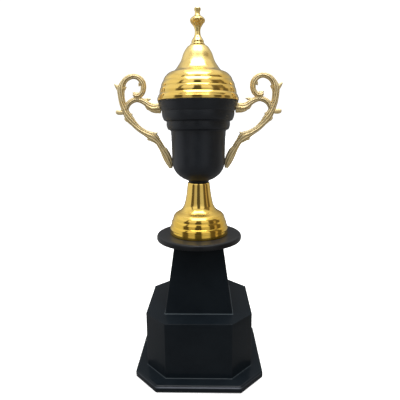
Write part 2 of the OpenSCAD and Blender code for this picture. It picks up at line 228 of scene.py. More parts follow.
def join(name, obs):
    verts, faces, smooth = [], [], []
    for o in obs:
        base = len(verts)
        mw = o.matrix_world
        verts += [mw @ v.co for v in o.data.vertices]
        faces += [[base + i for i in p.vertices] for p in o.data.polygons]
    ob = new_object(name, verts, faces)
    for o in obs:
        bpy.data.objects.remove(o)
    return ob


def finish(ob, body, slot_name, material, *replaced):
    ob.data.materials.clear()
    ob.data.materials.append(material)
    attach(ob, body)
    if replaced:
        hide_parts(*replaced)
    return ob


# ---------------------------------------------------------------- node helpers
class Nodes:
    def __init__(self, name):
        self.mat = bpy.data.materials.new(name)
        self.mat.use_nodes = True
        self.nt = self.mat.node_tree
        self.nt.nodes.clear()
        self.out = self.nt.nodes.new("ShaderNodeOutputMaterial")
        self.bsdf = self.nt.nodes.new("ShaderNodeBsdfPrincipled")
        self.nt.links.new(self.bsdf.outputs[0], self.out.inputs["Surface"])
        self.coord = self.nt.nodes.new("ShaderNodeTexCoord")

    def node(self, kind, **kw):
        n = self.nt.nodes.new(kind)
        for k, v in kw.items():
            setattr(n, k, v)
        return n

    def link(self, a, b):
        self.nt.links.new(a, b)

    def put(self, socket, value):
        if hasattr(value, "node"):
            self.link(value, socket)
        else:
            socket.default_value = value

    def math(self, op, a, b=None, clamp=False):
        n = self.node("ShaderNodeMath", operation=op, use_clamp=clamp)
        self.put(n.inputs[0], a)
        if b is not None:
            self.put(n.inputs[1], b)
        return n.outputs[0]

    def noise(self, vec, scale, detail=3.0, rough=0.5, distort=0.0):
        n = self.node("ShaderNodeTexNoise")
        self.link(vec, n.inputs["Vector"])
        n.inputs["Scale"].default_value = scale
        n.inputs["Detail"].default_value = detail
        n.inputs["Roughness"].default_value = rough
        n.inputs["Distortion"].default_value = distort
        return n.outputs["Fac"]

    def remap(self, v, a, b, lo, hi):
        n = self.node("ShaderNodeMapRange")
        self.link(v, n.inputs["Value"])
        for i, x in enumerate((a, b, lo, hi)):
            n.inputs[1 + i].default_value = x
        return n.outputs[0]

    def scaled(self, vec, s):
        n = self.node("ShaderNodeMapping")
        self.link(vec, n.inputs["Vector"])
        n.inputs["Scale"].default_value = s
        return n.outputs[0]

    def ramp(self, fac, stops):
        n = self.node("ShaderNodeValToRGB")
        self.link(fac, n.inputs["Fac"])
        el = n.color_ramp.elements
        while len(el) > 1:
            el.remove(el[-1])
        el[0].position, el[0].color = stops[0][0], (*stops[0][1], 1)
        for p, c in stops[1:]:
            e = el.new(p)
            e.color = (*c, 1)
        return n.outputs["Color"]

    def mix(self, fac, a, b):
        n = self.node("ShaderNodeMix", data_type="RGBA")
        self.put(n.inputs[0], fac)
        for sock, v in ((n.inputs[6], a), (n.inputs[7], b)):
            if hasattr(v, "node"):
                self.link(v, sock)
            else:
                sock.default_value = (*v, 1)
        return n.outputs[2]

    def bump(self, height, strength, distance, normal=None):
        n = self.node("ShaderNodeBump")
        n.inputs["Strength"].default_value = strength
        n.inputs["Distance"].default_value = distance
        self.link(height, n.inputs["Height"])
        if normal is not None:
            self.link(normal, n.inputs["Normal"])
        return n.outputs["Normal"]

    def set(self, **kw):
        names = {"color": "Base Color", "rough": "Roughness", "metal": "Metallic", "ior": "IOR",
                 "spec": "Specular IOR Level", "coat": "Coat Weight", "coat_rough": "Coat Roughness",
                 "sheen": "Sheen Weight", "sheen_rough": "Sheen Roughness", "aniso": "Anisotropic",
                 "normal": "Normal", "tangent": "Tangent", "tint": "Specular Tint"}
        for k, v in kw.items():
            s = self.bsdf.inputs[names[k]]
            if hasattr(v, "node"):
                self.link(v, s)
            else:
                s.default_value = (*v, 1) if isinstance(v, tuple) and len(v) == 3 else v


def turned_coords(m):
    """(radius, height) of each point, for marks left by turning, as a vector."""
    sep = m.node("ShaderNodeSeparateXYZ")
    m.link(m.coord.outputs["Object"], sep.inputs[0])
    x, y, z = sep.outputs
    r = m.math("SQRT", m.math("ADD", m.math("MULTIPLY", x, x), m.math("MULTIPLY", y, y)))
    comb = m.node("ShaderNodeCombineXYZ")
    m.link(r, comb.inputs[0])
    m.link(z, comb.inputs[2])
    return comb.outputs[0]


def gold_spun():
    m = Nodes("gold_spun")
    obj = m.coord.outputs["Object"]
    turn = turned_coords(m)
    lines = m.noise(turn, 2600.0, 2.0, 0.7)
    waves = m.noise(turn, 240.0, 2.0, 0.5)
    cloud = m.noise(obj, 38.0, 4.0, 0.55)
    haze = m.noise(m.scaled(obj, (1.0, 1.0, 0.35)), 90.0, 3.0, 0.6, 0.6)
    color = m.mix(m.remap(cloud, 0.35, 0.68, 0.0, 1.0), (0.90, 0.61, 0.145), (0.94, 0.67, 0.19))
    sep = m.node("ShaderNodeSeparateXYZ")
    m.link(obj, sep.inputs[0])
    # painted shade: the foot is turned a deeper, darker orange from 262 mm down, fully by 238 mm
    color = m.mix(m.remap(sep.outputs[2], 0.262, 0.238, 0.0, 0.8), color, (0.87, 0.56, 0.08))
    # painted highlight: from 452 mm up to 500 mm the lid's cone and the knob are turned a paler, lighter gold
    color = m.mix(m.remap(sep.outputs[2], 0.452, 0.500, 0.0, 0.85), color, (0.95, 0.74, 0.30))
    # the knob's fluted bulb, 528.5 to 540.5 mm, is taken mostly back out of the painted highlight to a deeper orange
    bulb = m.math("MULTIPLY", m.remap(sep.outputs[2], 0.5285, 0.5315, 0.0, 1.0), m.remap(sep.outputs[2], 0.5385, 0.5405, 1.0, 0.0))
    color = m.mix(m.math("MULTIPLY", bulb, 0.85), color, (0.93, 0.60, 0.17))
    rough = m.math("ADD", m.remap(haze, 0.35, 0.75, 0.065, 0.15), m.remap(lines, 0.3, 0.7, -0.012, 0.02))
    # the foot's ledge is less finely polished
    ledge = m.math("MULTIPLY", m.remap(sep.outputs[2], 0.2495, 0.2515, 0.0, 1.0), m.remap(sep.outputs[2], 0.2550, 0.2580, 1.0, 0.0))
    rough = m.math("ADD", rough, m.math("MULTIPLY", ledge, 0.24))
    # so is the steep upper part of the lid's cone
    steep = m.math("MULTIPLY", m.remap(sep.outputs[2], 0.476, 0.486, 0.0, 1.0), m.remap(sep.outputs[2], 0.5000, 0.5050, 1.0, 0.0))
    rough = m.math("ADD", rough, m.math("MULTIPLY", steep, 0.20))
    n1 = m.bump(lines, 0.05, 0.0002)
    n2 = m.bump(waves, 0.10, 0.0006, n1)
    m.set(color=color, rough=rough, metal=1.0, normal=n2)
    return m.mat


def gold_cast():
    m = Nodes("gold_cast")
    obj = m.coord.outputs["Object"]
    cav = m.node("ShaderNodeAttribute", attribute_name="cavity").outputs["Fac"]
    cloud = m.noise(obj, 60.0, 4.0, 0.6)
    grain = m.noise(obj, 900.0, 3.0, 0.6)
    pits = m.noise(obj, 330.0, 4.0, 0.65)
    base = m.mix(m.remap(cloud, 0.35, 0.68, 0.0, 1.0), (0.90, 0.71, 0.36), (0.95, 0.80, 0.48))
    # painted shade: the recesses, by their cavity value, are darkened towards brown
    recess_shade = m.mix(m.remap(cav, 0.50, 0.30, 0.0, 0.95), base, (0.30, 0.205, 0.075))
    # painted highlight: the raised points, by their cavity value, are lightened towards pale cream
    high = m.mix(m.remap(cav, 0.56, 0.78, 0.0, 0.7), recess_shade, (1.0, 0.91, 0.64))
    rough = m.math("ADD", m.remap(pits, 0.3, 0.75, 0.52, 0.64), m.remap(cav, 0.3, 0.75, 0.06, -0.05))
    n1 = m.bump(grain, 0.12, 0.00015)
    n2 = m.bump(pits, 0.25, 0.0003, n1)
    m.set(color=high, rough=rough, metal=1.0, normal=n2)
    return m.mat


def black_paint():
    m = Nodes("black_paint")
    obj = m.coord.outputs["Object"]
    peel = m.noise(obj, 520.0, 2.0, 0.5)
    fine = m.noise(obj, 2400.0, 2.0, 0.6)
    turn = m.noise(turned_coords(m), 420.0, 2.0, 0.5)
    dust = m.noise(obj, 70.0, 5.0, 0.65)
    color = m.mix(m.remap(dust, 0.42, 0.75, 0.0, 1.0), (0.0080, 0.0110, 0.0150), (0.0112, 0.0148, 0.0194))
    rough = m.remap(dust, 0.3, 0.75, 0.36, 0.48)
    n1 = m.bump(fine, 0.10, 0.00008)
    n2 = m.bump(peel, 0.16, 0.00025, n1)
    n3 = m.bump(turn, 0.10, 0.0003, n2)
    m.set(color=color, rough=rough, spec=0.40, tint=(0.93, 0.94, 1.0), normal=n3)
    return m.mat


def black_board(name, dark, light, spec, coat, rough_a, rough_b, lit_top_color=None):
    m = Nodes(name)
    obj = m.coord.outputs["Object"]
    peel = m.noise(obj, 260.0, 3.0, 0.5)
    fibre = m.noise(m.scaled(obj, (1.0, 1.0, 1.6)), 1300.0, 3.0, 0.65)
    cloud = m.noise(obj, 26.0, 4.0, 0.6, 0.4)
    speck = m.noise(obj, 1900.0, 1.0, 0.5)
    color = m.mix(m.remap(cloud, 0.35, 0.70, 0.0, 1.0), dark, light)
    color = m.mix(m.remap(speck, 0.72, 0.80, 0.0, 0.5), color, (0.05, 0.05, 0.055))
    sep = m.node("ShaderNodeSeparateXYZ")
    m.link(obj, sep.inputs[0])
    # painted highlight: a lighter band in the lowest 1.4 mm of the column and of the plinth walls, where the paint's
    # fillet catches the light
    for foot, level in ((Z_PTOP, 0.95), (Z_BASE + 11.0, 0.5)):
        up = m.math("SUBTRACT", m.math("MULTIPLY", sep.outputs[2], 1000.0), foot + 0.05)
        fillet_glint = m.math("MULTIPLY", m.math("GREATER_THAN", up, 0.0), m.remap(up, 0.6, 1.4, 1.0, 0.0))
        color = m.mix(m.math("MULTIPLY", m.math("MAXIMUM", fillet_glint, 0.0), level), color, (0.052, 0.068, 0.077))
    # painted highlight: a lighter band along the rounded edge of the base, where it catches the light, weaker on the
    # sides
    high = m.math("MULTIPLY", sep.outputs[2], 1000.0)
    edge_highlight = m.math("MULTIPLY", m.remap(high, 8.4, 9.2, 0.0, 1.0), m.remap(high, 10.4, 11.2, 1.0, 0.0))
    side = m.remap(m.math("ABSOLUTE", sep.outputs[0]), 0.059, 0.065, 1.0, 0.16)
    edge_highlight = m.math("MULTIPLY", edge_highlight, m.math("MULTIPLY", side, m.remap(cloud, 0.3, 0.7, 0.8, 1.0)))
    color = m.mix(edge_highlight, color, (0.155, 0.168, 0.198))
    # painted highlight: the disc's top face and the top of its rounded edge get a lighter colour
    if lit_top_color is not None:
        color = m.mix(m.remap(high, Z_DISC - 1.3, Z_DISC - 0.3, 0.0, 1.0), color, lit_top_color)
    rough = m.remap(cloud, 0.3, 0.72, rough_a, rough_b)
    n1 = m.bump(fibre, 0.12, 0.00012)
    n2 = m.bump(peel, 0.14, 0.0004, n1)
    m.set(color=color, rough=rough, spec=spec, coat=coat, coat_rough=0.12, normal=n2)
    return m.mat


def raw_wood():
    m = Nodes("raw_wood")
    obj = m.coord.outputs["Object"]
    grain = m.noise(m.scaled(obj, (1.0, 1.0, 0.09)), 330.0, 5.0, 0.6, 1.2)
    rings = m.noise(m.scaled(obj, (1.0, 1.0, 0.12)), 60.0, 2.0, 0.5, 2.0)
    color = m.ramp(m.math("ADD", m.math("MULTIPLY", grain, 0.55), m.math("MULTIPLY", rings, 0.45)),
                   [(0.30, (0.30, 0.165, 0.075)), (0.5, (0.52, 0.335, 0.17)), (0.72, (0.68, 0.49, 0.29))])
    n1 = m.bump(grain, 0.5, 0.0003)
    m.set(color=color, rough=m.remap(grain, 0.3, 0.7, 0.62, 0.82), normal=n1)
    return m.mat


def felt_cloth():
    m = Nodes("felt")
    obj = m.coord.outputs["Object"]
    fuzz = m.noise(obj, 1500.0, 5.0, 0.75, 1.5)
    clump = m.noise(obj, 300.0, 3.0, 0.6)
    color = m.mix(m.remap(fuzz, 0.35, 0.7, 0.0, 1.0), (0.012, 0.012, 0.014), (0.050, 0.050, 0.056))
    m.set(color=color, rough=m.remap(clump, 0.3, 0.7, 0.85, 1.0), sheen=0.5, sheen_rough=0.5,
          normal=m.bump(fuzz, 0.8, 0.0004))
    return m.mat


def rubber_seal():
    m = Nodes("seal")
    obj = m.coord.outputs["Object"]
    n = m.noise(obj, 700.0, 3.0, 0.6)
    color = m.mix(m.remap(n, 0.35, 0.7, 0.0, 1.0), (0.008, 0.008, 0.008), (0.020, 0.020, 0.021))
    m.set(color=color, rough=m.remap(n, 0.3, 0.7, 0.5, 0.68), normal=m.bump(n, 0.3, 0.0002))
    return m.mat


def zinc_steel():
    m = Nodes("steel")
    obj = m.coord.outputs["Object"]
    patches = m.noise(obj, 420.0, 3.0, 0.6)
    fine = m.noise(obj, 2500.0, 3.0, 0.6)
    color = m.mix(m.remap(patches, 0.35, 0.7, 0.0, 1.0), (0.52, 0.53, 0.56), (0.70, 0.71, 0.72))
    m.set(color=color, rough=m.remap(patches, 0.3, 0.7, 0.22, 0.40), metal=1.0,
          normal=m.bump(fine, 0.15, 0.0001))
    return m.mat


M_GOLD, M_CAST, M_PAINT = gold_spun(), gold_cast(), black_paint()
M_BOARD = black_board("black_board", (0.0050, 0.0080, 0.0112), (0.0074, 0.0110, 0.0146), 0.06, 0.20, 0.40, 0.50)
# the disc's last colour is the painted highlight on its top face
M_DISC = black_board("black_disc", (0.0052, 0.0058, 0.0074), (0.0072, 0.0078, 0.0094), 0.24, 0.0, 0.34, 0.42,
                     (0.0216, 0.0228, 0.0248))
M_WOOD, M_FELT, M_SEAL, M_STEEL = raw_wood(), felt_cloth(), rubber_seal(), zinc_steel()

by_slot = {"gold_spun": M_GOLD, "gold_cast": M_CAST, "black_paint": M_PAINT, "black_board": M_BOARD,
           "raw_wood": M_WOOD, "felt": M_FELT, "seal": M_SEAL, "steel": M_STEEL}
for sp in frame["record"]["subparts"]:
    o = nodes[sp["node"]]
    o.data.materials.clear()
    o.data.materials.append(by_slot[sp["material_slot"]])

# ---------------------------------------------------------------- turned pieces
foot_line = (
    [(46.2, 0), (46.9, 0.7), (47.0, 3.0), (46.85, 5.6), (46.6, 8.0)] + bulge((46.6, 8.0), (44.5, 15.6), 0.8, 14)
    + [(44.25, 15.9)] + bulge((44.25, 15.9), (42.0, 24.2), 0.7, 14)
    + [(41.8, 24.5)] + bulge((41.8, 24.5), (38.6, 31.9), 0.8, 14)
    + [(38.2, 32.6), (37.4, 33.4)] + bulge((37.4, 33.4), (31.2, 37.1), 0.15, 8))
foot_neck = smooth_line([(31.2, 37.1), (29.0, 38.9), (26.9, 41.1), (25.2, 43.6), (23.9, 46), (23, 48.6), (22.2, 51.6),
                         (21.3, 55.4), (20.7, 58.6), (20, 62.6), (19.3, 67.4), (18.7, 72.4), (18.1, 77.2), (17.7, 80.4)], 4)
foot_line += [tuple(p) for p in foot_neck[1:]] + [(17.35, 82.3), (16.9, 83.0)]


def shifted(p, z):
    return [(r, h + z) for r, h in p]


fi = [(max(r, 3.4), min(h, 82.0)) for r, h in inset(foot_line, 1.0)]
fi = [q for q in fi if q[1] > 1.2 and q[1] < 81.9]
foot_prof = rounded(foot_line, 0.22, closed=False, least=26) + [(15.4, 83.0), (3.4, 83.0), (3.4, 82.0)] \
    + fi[::-1] + [(45.8, 0.9), (45.4, 0)]
foot = lathe("foot", shifted(foot_prof, Z_FOOT), 256)
finish(foot, "trophy", "gold_spun", M_GOLD, "foot_shell")

gasket = lathe("gasket", rounded([(3.4, 301), (15.8, 301), (15.8, 302), (3.4, 302)], 0.3), 128)
finish(gasket, "trophy", "seal", M_SEAL, "stem_gasket")


def belly(r0, r1, h, e, n):
    a0 = math.acos((r0 / r1) ** (e / 2))
    out = []
    for i in range(n + 1):
        a = a0 * (1 - i / n)
        out.append((r1 * math.cos(a) ** (2 / e), h - h * max(math.sin(a), 0) ** (2 / e)))
    return out


bowl_line = (
    [(15.6, 0)] + belly(17, 41.3, 33.5, 2.12, 40) + [(41.33, 38), (41.36, 44), (41.42, 50), (41.6, 58), (41.84, 66),
                                                     (42.05, 72), (42.2, 77)]
    + [(42.3, 78.6), (42.9, 79.7), (44.4, 80.6), (46.4, 81.2)] + bulge((46.4, 81.2), (48.4, 92.6), 1.1, 14)
    + [(49.0, 93.5), (51.2, 94.4), (52.2, 95.0)] + bulge((52.2, 95.0), (55.2, 108.4), 1.2, 14)
    + [(55.7, 109.0), (56.4, 109.8)] + bulge((56.4, 109.8), (60.2, 121), 0.25, 10))
bi = [(max(r, 3.4), max(h, 1.0)) for r, h in inset(bowl_line, 1.0)][3:]
lip = [(60.75, 121.5), (61.0, 122.3), (60.8, 123.1), (60.3, 123.5), (59.7, 123.3), (59.3, 122.6)]
bowl_prof = [(3.4, 0)] + rounded(bowl_line, 0.5, closed=False, least=16) + lip + bi[::-1] + [(15.0, 1.0), (3.4, 1.0)]


def spun(amount, lobes):
    """The slight wave of sheet that was spun by hand."""
    def f(r, z, a):
        k = amount * math.sin(lobes * a + z * 0.07) + amount * 0.6 * math.sin(3 * a - z * 0.11)
        return r + k, z
    return f


bowl = lathe("bowl", shifted(bowl_prof, Z_BOWL), 256, warp=spun(0.04, 5))
finish(bowl, "trophy", "black_paint", M_PAINT, "bowl_shell")

lid_line = (
    [(61.2, 0), (61.7, 0.5), (61.7, 1.6), (61.6, 3.8), (60.8, 5.2)] + bulge((60.8, 5.2), (58.35, 9.7), 0.3, 8)
    + [(58.1, 10.0)] + bulge((58.1, 10.0), (55.95, 19.2), 0.7, 14)
    + [(55.75, 19.5)] + bulge((55.75, 19.5), (52.35, 28.3), 0.8, 14)
    + [(52.1, 28.6)] + bulge((52.1, 28.6), (47.65, 36.3), 0.7, 12)
    + [(47.4, 36.6)] + bulge((47.4, 36.6), (38.6, 41.3), 1.0, 12))
cone = smooth_line([(38.6, 41.3), (36.8, 42.4), (35, 43.7), (33.3, 45.3), (31.8, 47.2), (30.2, 49.4), (28.8, 51.6),
                    (27.4, 53.7), (26, 55.9), (25, 58), (24.1, 60.2), (23.4, 62.3), (22.7, 64.5), (21.9, 66.7),
                    (20.9, 69), (19.6, 71.2), (18.2, 73.4), (16.8, 75.4), (15.3, 77.2), (13.4, 78.4), (11, 79.2)], 4)
lid_line += [tuple(p) for p in cone[1:]]
li = [(r, min(h, 78.4)) for r, h in inset(lid_line, 0.8)]
li = [q for k, q in enumerate(li) if k > 2 and q[0] > 3.0]
lid_prof = rounded(lid_line, 0.2, closed=False, least=24)[1:] + [(1.95, 79.2), (1.95, 78.4)] + li[::-1] \
    + [(60.7, 0.3), (60.85, 0), (61.2, 0)]
lid = lathe("lid", shifted(lid_prof, Z_LID), 256, warp=spun(0.03, 4))
finish(lid, "lid", "gold_spun", M_GOLD, "lid_shell")

ring = lathe("lid_ring", shifted(rounded([(56.8, -4), (57.6, -4), (57.6, 2.7), (60.7, 2.7), (60.7, 3.5),
                                          (56.8, 3.5)], 0.3), Z_LID), 192)
finish(ring, "lid", "gold_spun", M_GOLD, "lid_locating_ring")

fin_body = smooth_line([(9.2, 3.6), (9.4, 5), (9.0, 6.4), (8.2, 7.9), (7.1, 9.7), (5.7, 11.8), (4.7, 14), (4.25, 17),
                        (4.1, 20), (4.6, 23), (5.8, 26), (7.8, 29), (9.7, 31.4), (10.9, 33.6), (10.9, 35.6),
                        (9.4, 37.4), (6.8, 39.4), (4.8, 41), (3.9, 43), (3.75, 46)], 5)
fin_line = rounded([(11, 0), (11.4, 0.8), (11, 1.8), (9.6, 2.6)], 0.5, closed=False, least=10) \
    + [tuple(p) for p in fin_body] \
    + rounded([(3.9, 47.0), (4.7, 48.0), (4.8, 50.2), (4.3, 51.2)], 0.5, closed=False, least=10) + [(2.0, 51.4), (0, 51.4)]


def fluted(r, z, a):
    h = z - Z_FIN
    up = max(0.0, min(1.0, (h - 22.0) / 5.0)) * max(0.0, min(1.0, (35.2 - h) / 2.6))
    top = max(0.0, min(1.0, (h - 36.2) / 1.2)) * max(0.0, min(1.0, (41.0 - h) / 1.5))
    leaf = abs(math.cos(4 * a + 1.3 * math.sin(0.9 * h)))
    k = 1 + up * 0.13 * (leaf ** 0.6 - 0.75) + top * 0.03 * math.cos(14 * a)
    return min(r * k, 11.3), z


finial = lathe("finial_knob", shifted([(1.78, 0)] + fin_line + [(0, 9), (1.78, 9)], Z_FIN), 180, warp=fluted)
finish(finial, "lid", "gold_spun", M_GOLD, "finial")

disc_prof = [(3.4, 0), (66.4, 0)] + bulge((66.4, 0), (68.3, 2.0), 0.55, 6) + [(68.4, 3.2), (68.4, 5.2)] \
    + bulge((68.4, 5.2), (64.4, 9.0), 1.15, 10) + [(62.0, 9.0), (50.0, 9.0), (3.4, 9.0)]
disc = lathe("disc", shifted(disc_prof, Z_COLTOP), 256)
finish(disc, "trophy", "black_board", M_DISC, "top_disc")


# ---------------------------------------------------------------- boards
def cut_square_path(w, c, r, n=7):
    """Outline of a square with cut corners, each vertex rounded to radius r. Counter-clockwise."""
    h = w / 2
    v = [(h - c, -h), (h, c - h), (h, h - c), (h - c, h), (c - h, h), (-h, h - c), (-h, c - h), (c - h, -h)]
    return round_path(v, r, n)


def round_path(v, r, n):
    out, marks = [], []
    m = len(v)
    for i in range(m):
        a, b, c = (np.array(v[k % m], float) for k in (i - 1, i, i + 1))
        u, w = a - b, c - b
        u /= np.linalg.norm(u)
        w /= np.linalg.norm(w)
        turn = math.pi - math.acos(max(-1, min(1, float(u @ w))))
        d = r * math.tan(turn / 2)
        s, e = b + u * d, b + w * d
        marks.append(len(out) + n // 2)
        for k in range(n):
            t = k / (n - 1)
            out.append(tuple(s * (1 - t) ** 2 + b * 2 * t * (1 - t) + e * t * t))
    return out, marks


def loft(name, rings, cap=True, sharp=40):
    """A closed skin through rings of equal length, each a list of (x, y, z) in mm."""
    n = len(rings[0])
    verts = [(x * MM, y * MM, z * MM) for ring_ in rings for x, y, z in ring_]
    faces = []
    for i in range(len(rings) - 1):
        for k in range(n):
            j = (k + 1) % n
            faces.append([i * n + k, i * n + j, (i + 1) * n + j, (i + 1) * n + k])
    if cap:
        faces.append(list(range(n))[::-1])
        faces.append([(len(rings) - 1) * n + k for k in range(n)])
    return new_object(name, verts, faces, sharp=sharp)


def cylinder(r, z0, z1, x=0.0, y=0.0, n=48):
    """A cutting tool."""
    rings = [[(x + r * math.cos(2 * math.pi * k / n), y + r * math.sin(2 * math.pi * k / n), z) for k in range(n)]
             for z in (z0, z1)]
    return loft("tool", rings)


# edge shape of a board: (inset, height) from bottom to top
def board_edge(t, low, high, n=6):
    e = [(0.0, 0.0)] if low < 0.01 else \
        [(low * (1 - math.sin(math.pi / 2 * k / n)), low * (1 - math.cos(math.pi / 2 * k / n))) for k in range(n + 1)]
    e += [(high * (1 - math.cos(math.pi / 2 * k / n)), t - high * (1 - math.sin(math.pi / 2 * k / n)))
          for k in range(n + 1)]
    return e


def board(name, w, c, z, t, low, high, r):
    rings = []
    for ins, h in board_edge(t, low, high):
        path, _ = cut_square_path(w - 2 * ins, c - 0.586 * ins, r)
        rings.append([(x, y, z + h) for x, y in path])
    return loft(name, rings)


base = board("base_board", 199.0, 36.5, Z_BASE, 11.0, 1.0, 3.4, 3.0)
for tool in [cylinder(3.4, 0, 20), cylinder(12, 0, Z_BASE + 6.0)] + \
        [cylinder(2.1, 0, 20, sx * 54, sy * 54) for sx in (-1, 1) for sy in (-1, 1)] + \
        [cylinder(4.3, 0, Z_BASE + 3.0, sx * 54, sy * 54) for sx in (-1, 1) for sy in (-1, 1)]:
    cut(base, tool)
sharpen(base, 40)
finish(base, "trophy", "black_board", M_BOARD, "base_plate")

ptop = board("plinth_top_board", 165, 32.5, Z_PTOP - 9, 9.0, 0.0, 0.5, 2.2)
for tool in [cylinder(3.4, 80, 120)] + [cylinder(2.1, 80, 120, sx * 28, sy * 28) for sx in (-1, 1) for sy in (-1, 1)]:
    cut(ptop, tool)
sharpen(ptop, 40)
finish(ptop, "trophy", "black_board", M_BOARD, "plinth_top_panel")


def walls(name_of, w, c, r, thick, z_rows, replaced, group_corners):
    """The boards around a box, cut from one rounded outline at the mitres. z_rows: (height, outward flare)."""
    n = 9
    h = w / 2
    inner_c = c - thick * (2 - math.sqrt(2))
    paths = [(cut_square_path(w + 2 * f, c + 0.586 * f, r, n), z) for z, f in z_rows]
    hi = h - thick
    vi = [(hi - inner_c, -hi), (hi, inner_c - hi), (hi, hi - inner_c), (hi - inner_c, hi),
          (inner_c - hi, hi), (-hi, hi - inner_c), (-hi, inner_c - hi), (inner_c - hi, -hi)]
    made = []
    for side in range(8):
        a, b = side, (side + 1) % 8
        rings = []
        for (path, marks), z in paths:
            m = len(path)
            i0, i1 = marks[a], marks[b]
            count = (i1 - i0) % m
            outer = [path[(i0 + k) % m] for k in range(count + 1)]
            inner = [vi[b], vi[a]]
            rings.append([(x, y, z) for x, y in outer + inner])
        made.append(loft("wall%d" % side, rings, sharp=35))
    # sides 0, 2, 4, 6 are the narrow corner boards; 1 right, 3 back, 5 left, 7 front
    out = {}
    corners = join(group_corners, [made[k] for k in (0, 2, 4, 6)])
    sharpen(corners, 35)
    out[group_corners] = corners
    for k, nm in ((1, "right"), (3, "back"), (5, "left"), (7, "front")):
        made[k].name = name_of % nm
        made[k].data.name = name_of % nm
        out[nm] = made[k]
    return out


fl = [(Z_PLINTH + 0.0, 0.9), (Z_PLINTH + 0.12, 0.55), (Z_PLINTH + 0.35, 0.28), (Z_PLINTH + 0.7, 0.1),
      (Z_PLINTH + 1.2, 0.0), (Z_PLINTH + 30, 0.0), (Z_PLINTH + 60, 0.0), (Z_PTOP - 9.0, 0.0)]
pw = walls("plinth_%s_board", 165, 32.5, 2.2, 9.0, fl, None, "plinth_corner_boards")
for nm in ("front", "back", "left", "right"):
    finish(pw[nm], "trophy", "black_board", M_BOARD, "plinth_%s_panel" % nm)
finish(pw["plinth_corner_boards"], "trophy", "black_board", M_BOARD, "plinth_corner_panels")

# column: four leaning boards, mitred at the corners, with the paint's fillet at the foot
def column_boards():
    rows = [(0.0, 1.0), (0.15, 0.6), (0.4, 0.3), (0.8, 0.1), (1.4, 0.0), (36.0, 0.0), (72.0, 0.0), (107.0, 0.0)]
    wall = 9.0 * math.sqrt(1 + ((52.5 - 37.5) / 107) ** 2)
    out = {}
    per = []
    for h, f in rows:
        half = 52.5 + (37.5 - 52.5) * h / 107
        o = half + f
        path, marks = round_path([(o, -o), (o, o), (-o, o), (-o, -o)], 1.6, 9)
        per.append((path, marks, half - wall, Z_PTOP + h))
    for side, nm in ((0, "right"), (1, "back"), (2, "left"), (3, "front")):
        rings = []
        for path, marks, hi, z in per:
            m = len(path)
            i0, i1 = marks[side], marks[(side + 1) % 4]
            outer = [path[(i0 + k) % m] for k in range((i1 - i0) % m + 1)]
            vi = [(hi, -hi), (hi, hi), (-hi, hi), (-hi, -hi)]
            rings.append([(x, y, z) for x, y in outer + [vi[(side + 1) % 4], vi[side]]])
        out[nm] = loft("column_%s_board" % nm, rings, sharp=35)
    return out


for nm, ob in column_boards().items():
    finish(ob, "trophy", "black_board", M_BOARD, "column_%s_panel" % nm)

# ---------------------------------------------------------------- pads and fasteners
pads = []
rng = np.random.default_rng(7)
for sx in (-1, 1):
    for sy in (-1, 1):
        ph = rng.uniform(0, 6.28, 4)

        def ragged(r, z, a, ph=ph):
            if r < 10:
                return r, z
            return r - 0.12 - 0.10 * math.sin(17 * a + ph[0]) * math.sin(5 * a + ph[1]) - 0.05 * math.sin(41 * a + ph[2]), z
        p = lathe("pad", rounded([(0, 0), (11.9, 0), (11.9, 1.5), (0, 1.5)], 0.45), 96, warp=ragged)
        p.location = (sx * 0.068, sy * 0.068, 0)
        bpy.context.view_layer.update()
        pads.append(p)
pads = join("pads", pads)
finish(pads, "trophy", "felt", M_FELT, "felt_pads")


def cross_cut(ob, z_top, z_deep, size):
    for rot in (0, math.pi / 2):
        pts = []
        for z, s in ((z_deep, 0.3), (z_top, 1.0)):
            ring_ = []
            for x, y in ((-1, -0.22), (1, -0.22), (1, 0.22), (-1, 0.22)):
                xx, yy = x * size * s, y * size * (0.6 + 0.4 * s)
                ring_.append((xx * math.cos(rot) - yy * math.sin(rot), xx * math.sin(rot) + yy * math.cos(rot), z))
            pts.append(ring_)
        if z_deep > z_top:
            pts = pts[::-1]
        t = loft("cross", pts)
        fix_normals(t)
        cut(ob, t)
    return ob


def pan_screw(length, r=1.75):
    """Head below z = 0, shank along +z, as in the CAD."""
    prof = [(0, -2.2), (1.5, -2.18), (2.4, -1.95), (3.05, -1.45), (3.4, -0.75), (3.5, -0.15), (3.35, 0), (r, 0)]
    z = 0.6
    while z < length - 1.0:
        prof += [(r, z), (r - 0.28, z + 0.25), (r - 0.28, z + 0.35), (r, z + 0.6)]
        z += 0.7
    prof += [(r - 0.2, length - 0.3), (r - 0.7, length), (0, length)]
    s = lathe("screw", prof, 40)
    cross_cut(s, -2.4, -0.9, 1.6)
    return s


def wood_screw(length, r=2.0):
    prof = [(0, 0), (3.9, 0.0), (4.0, 0.12), (4.0, 0.4), (2.05, 2.5), (r, 2.8)]
    z = 6.0
    while z < length - 5.0:
        prof += [(1.45, z), (r, z + 0.9), (1.45, z + 1.4)]
        z += 1.8
    prof += [(1.3, length - 4), (0.05, length - 0.05), (0, length)]
    s = lathe("wood_screw", prof, 40)
    cross_cut(s, -0.2, 1.7, 2.1)
    return s


def washer(r_out, r_in, t):
    return lathe("washer", rounded([(r_in, 0), (r_out, 0), (r_out, t), (r_in, t)], 0.2), 64)


def placed(ob, matrix):
    ob.data.transform(matrix)
    return ob


ws = wood_screw(34)
copies = []
for i, (sx, sy) in enumerate(((-1, -1), (1, -1), (1, 1), (-1, 1))):
    c = ws.copy()
    c.data = ws.data.copy()
    scene.collection.objects.link(c)
    placed(c, Matrix.Translation((sx * 0.054, sy * 0.054, (Z_BASE + 0.2) * MM)) @ Matrix.Rotation(0.5 + i * 1.1, 4, "Z"))
    copies.append(c)
bpy.data.objects.remove(ws)
ws = join("plinth_wood_screws", copies)
sharpen(ws, 35)
finish(ws, "trophy", "steel", M_STEEL, "base_screws")


